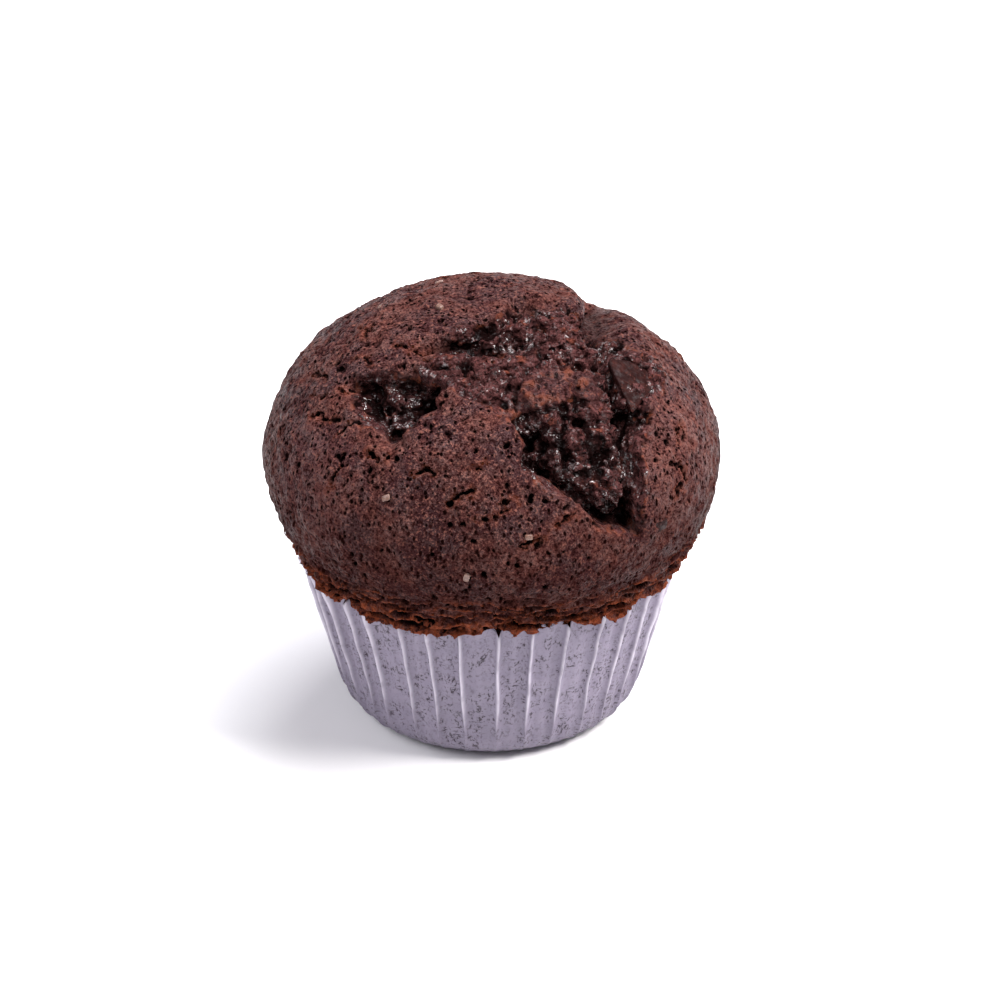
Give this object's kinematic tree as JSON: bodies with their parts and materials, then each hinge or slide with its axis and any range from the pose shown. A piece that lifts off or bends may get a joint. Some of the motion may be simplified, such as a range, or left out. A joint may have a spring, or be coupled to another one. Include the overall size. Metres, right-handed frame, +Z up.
{
  "type": "muffin",
  "caption": "Domed dark chocolate muffin with a torn, moist top, baked in a pleated white paper case.",
  "frame": {"origin": "centre of the paper case's flat base, on the surface it stands on", "axes": "+Z up through the top of the crown; -Y is the front and +X the right, with the torn crumb at the front right"},
  "size_m": [0.0772, 0.0777, 0.0741],
  "materials": {
    "crumb": "baked crust and moist torn crumb",
    "paper": "matte greaseproof paper",
    "chocolate": "smooth dark chocolate",
    "sugar": "coarse translucent sugar"
  },
  "bodies": {
    "root": {"cake": "crumb", "paper_case": "paper", "chocolate_chunk": "chocolate", "chocolate_chip": "chocolate", "sugar_grain_1": "sugar", "sugar_grain_2": "sugar", "sugar_grain_3": "sugar", "sugar_grain_4": "sugar", "sugar_grain_5": "sugar", "sugar_grain_6": "sugar", "sugar_grain_7": "sugar", "sugar_grain_8": "sugar", "sugar_grain_9": "sugar", "sugar_grain_10": "sugar"}
  },
  "joints": []
}
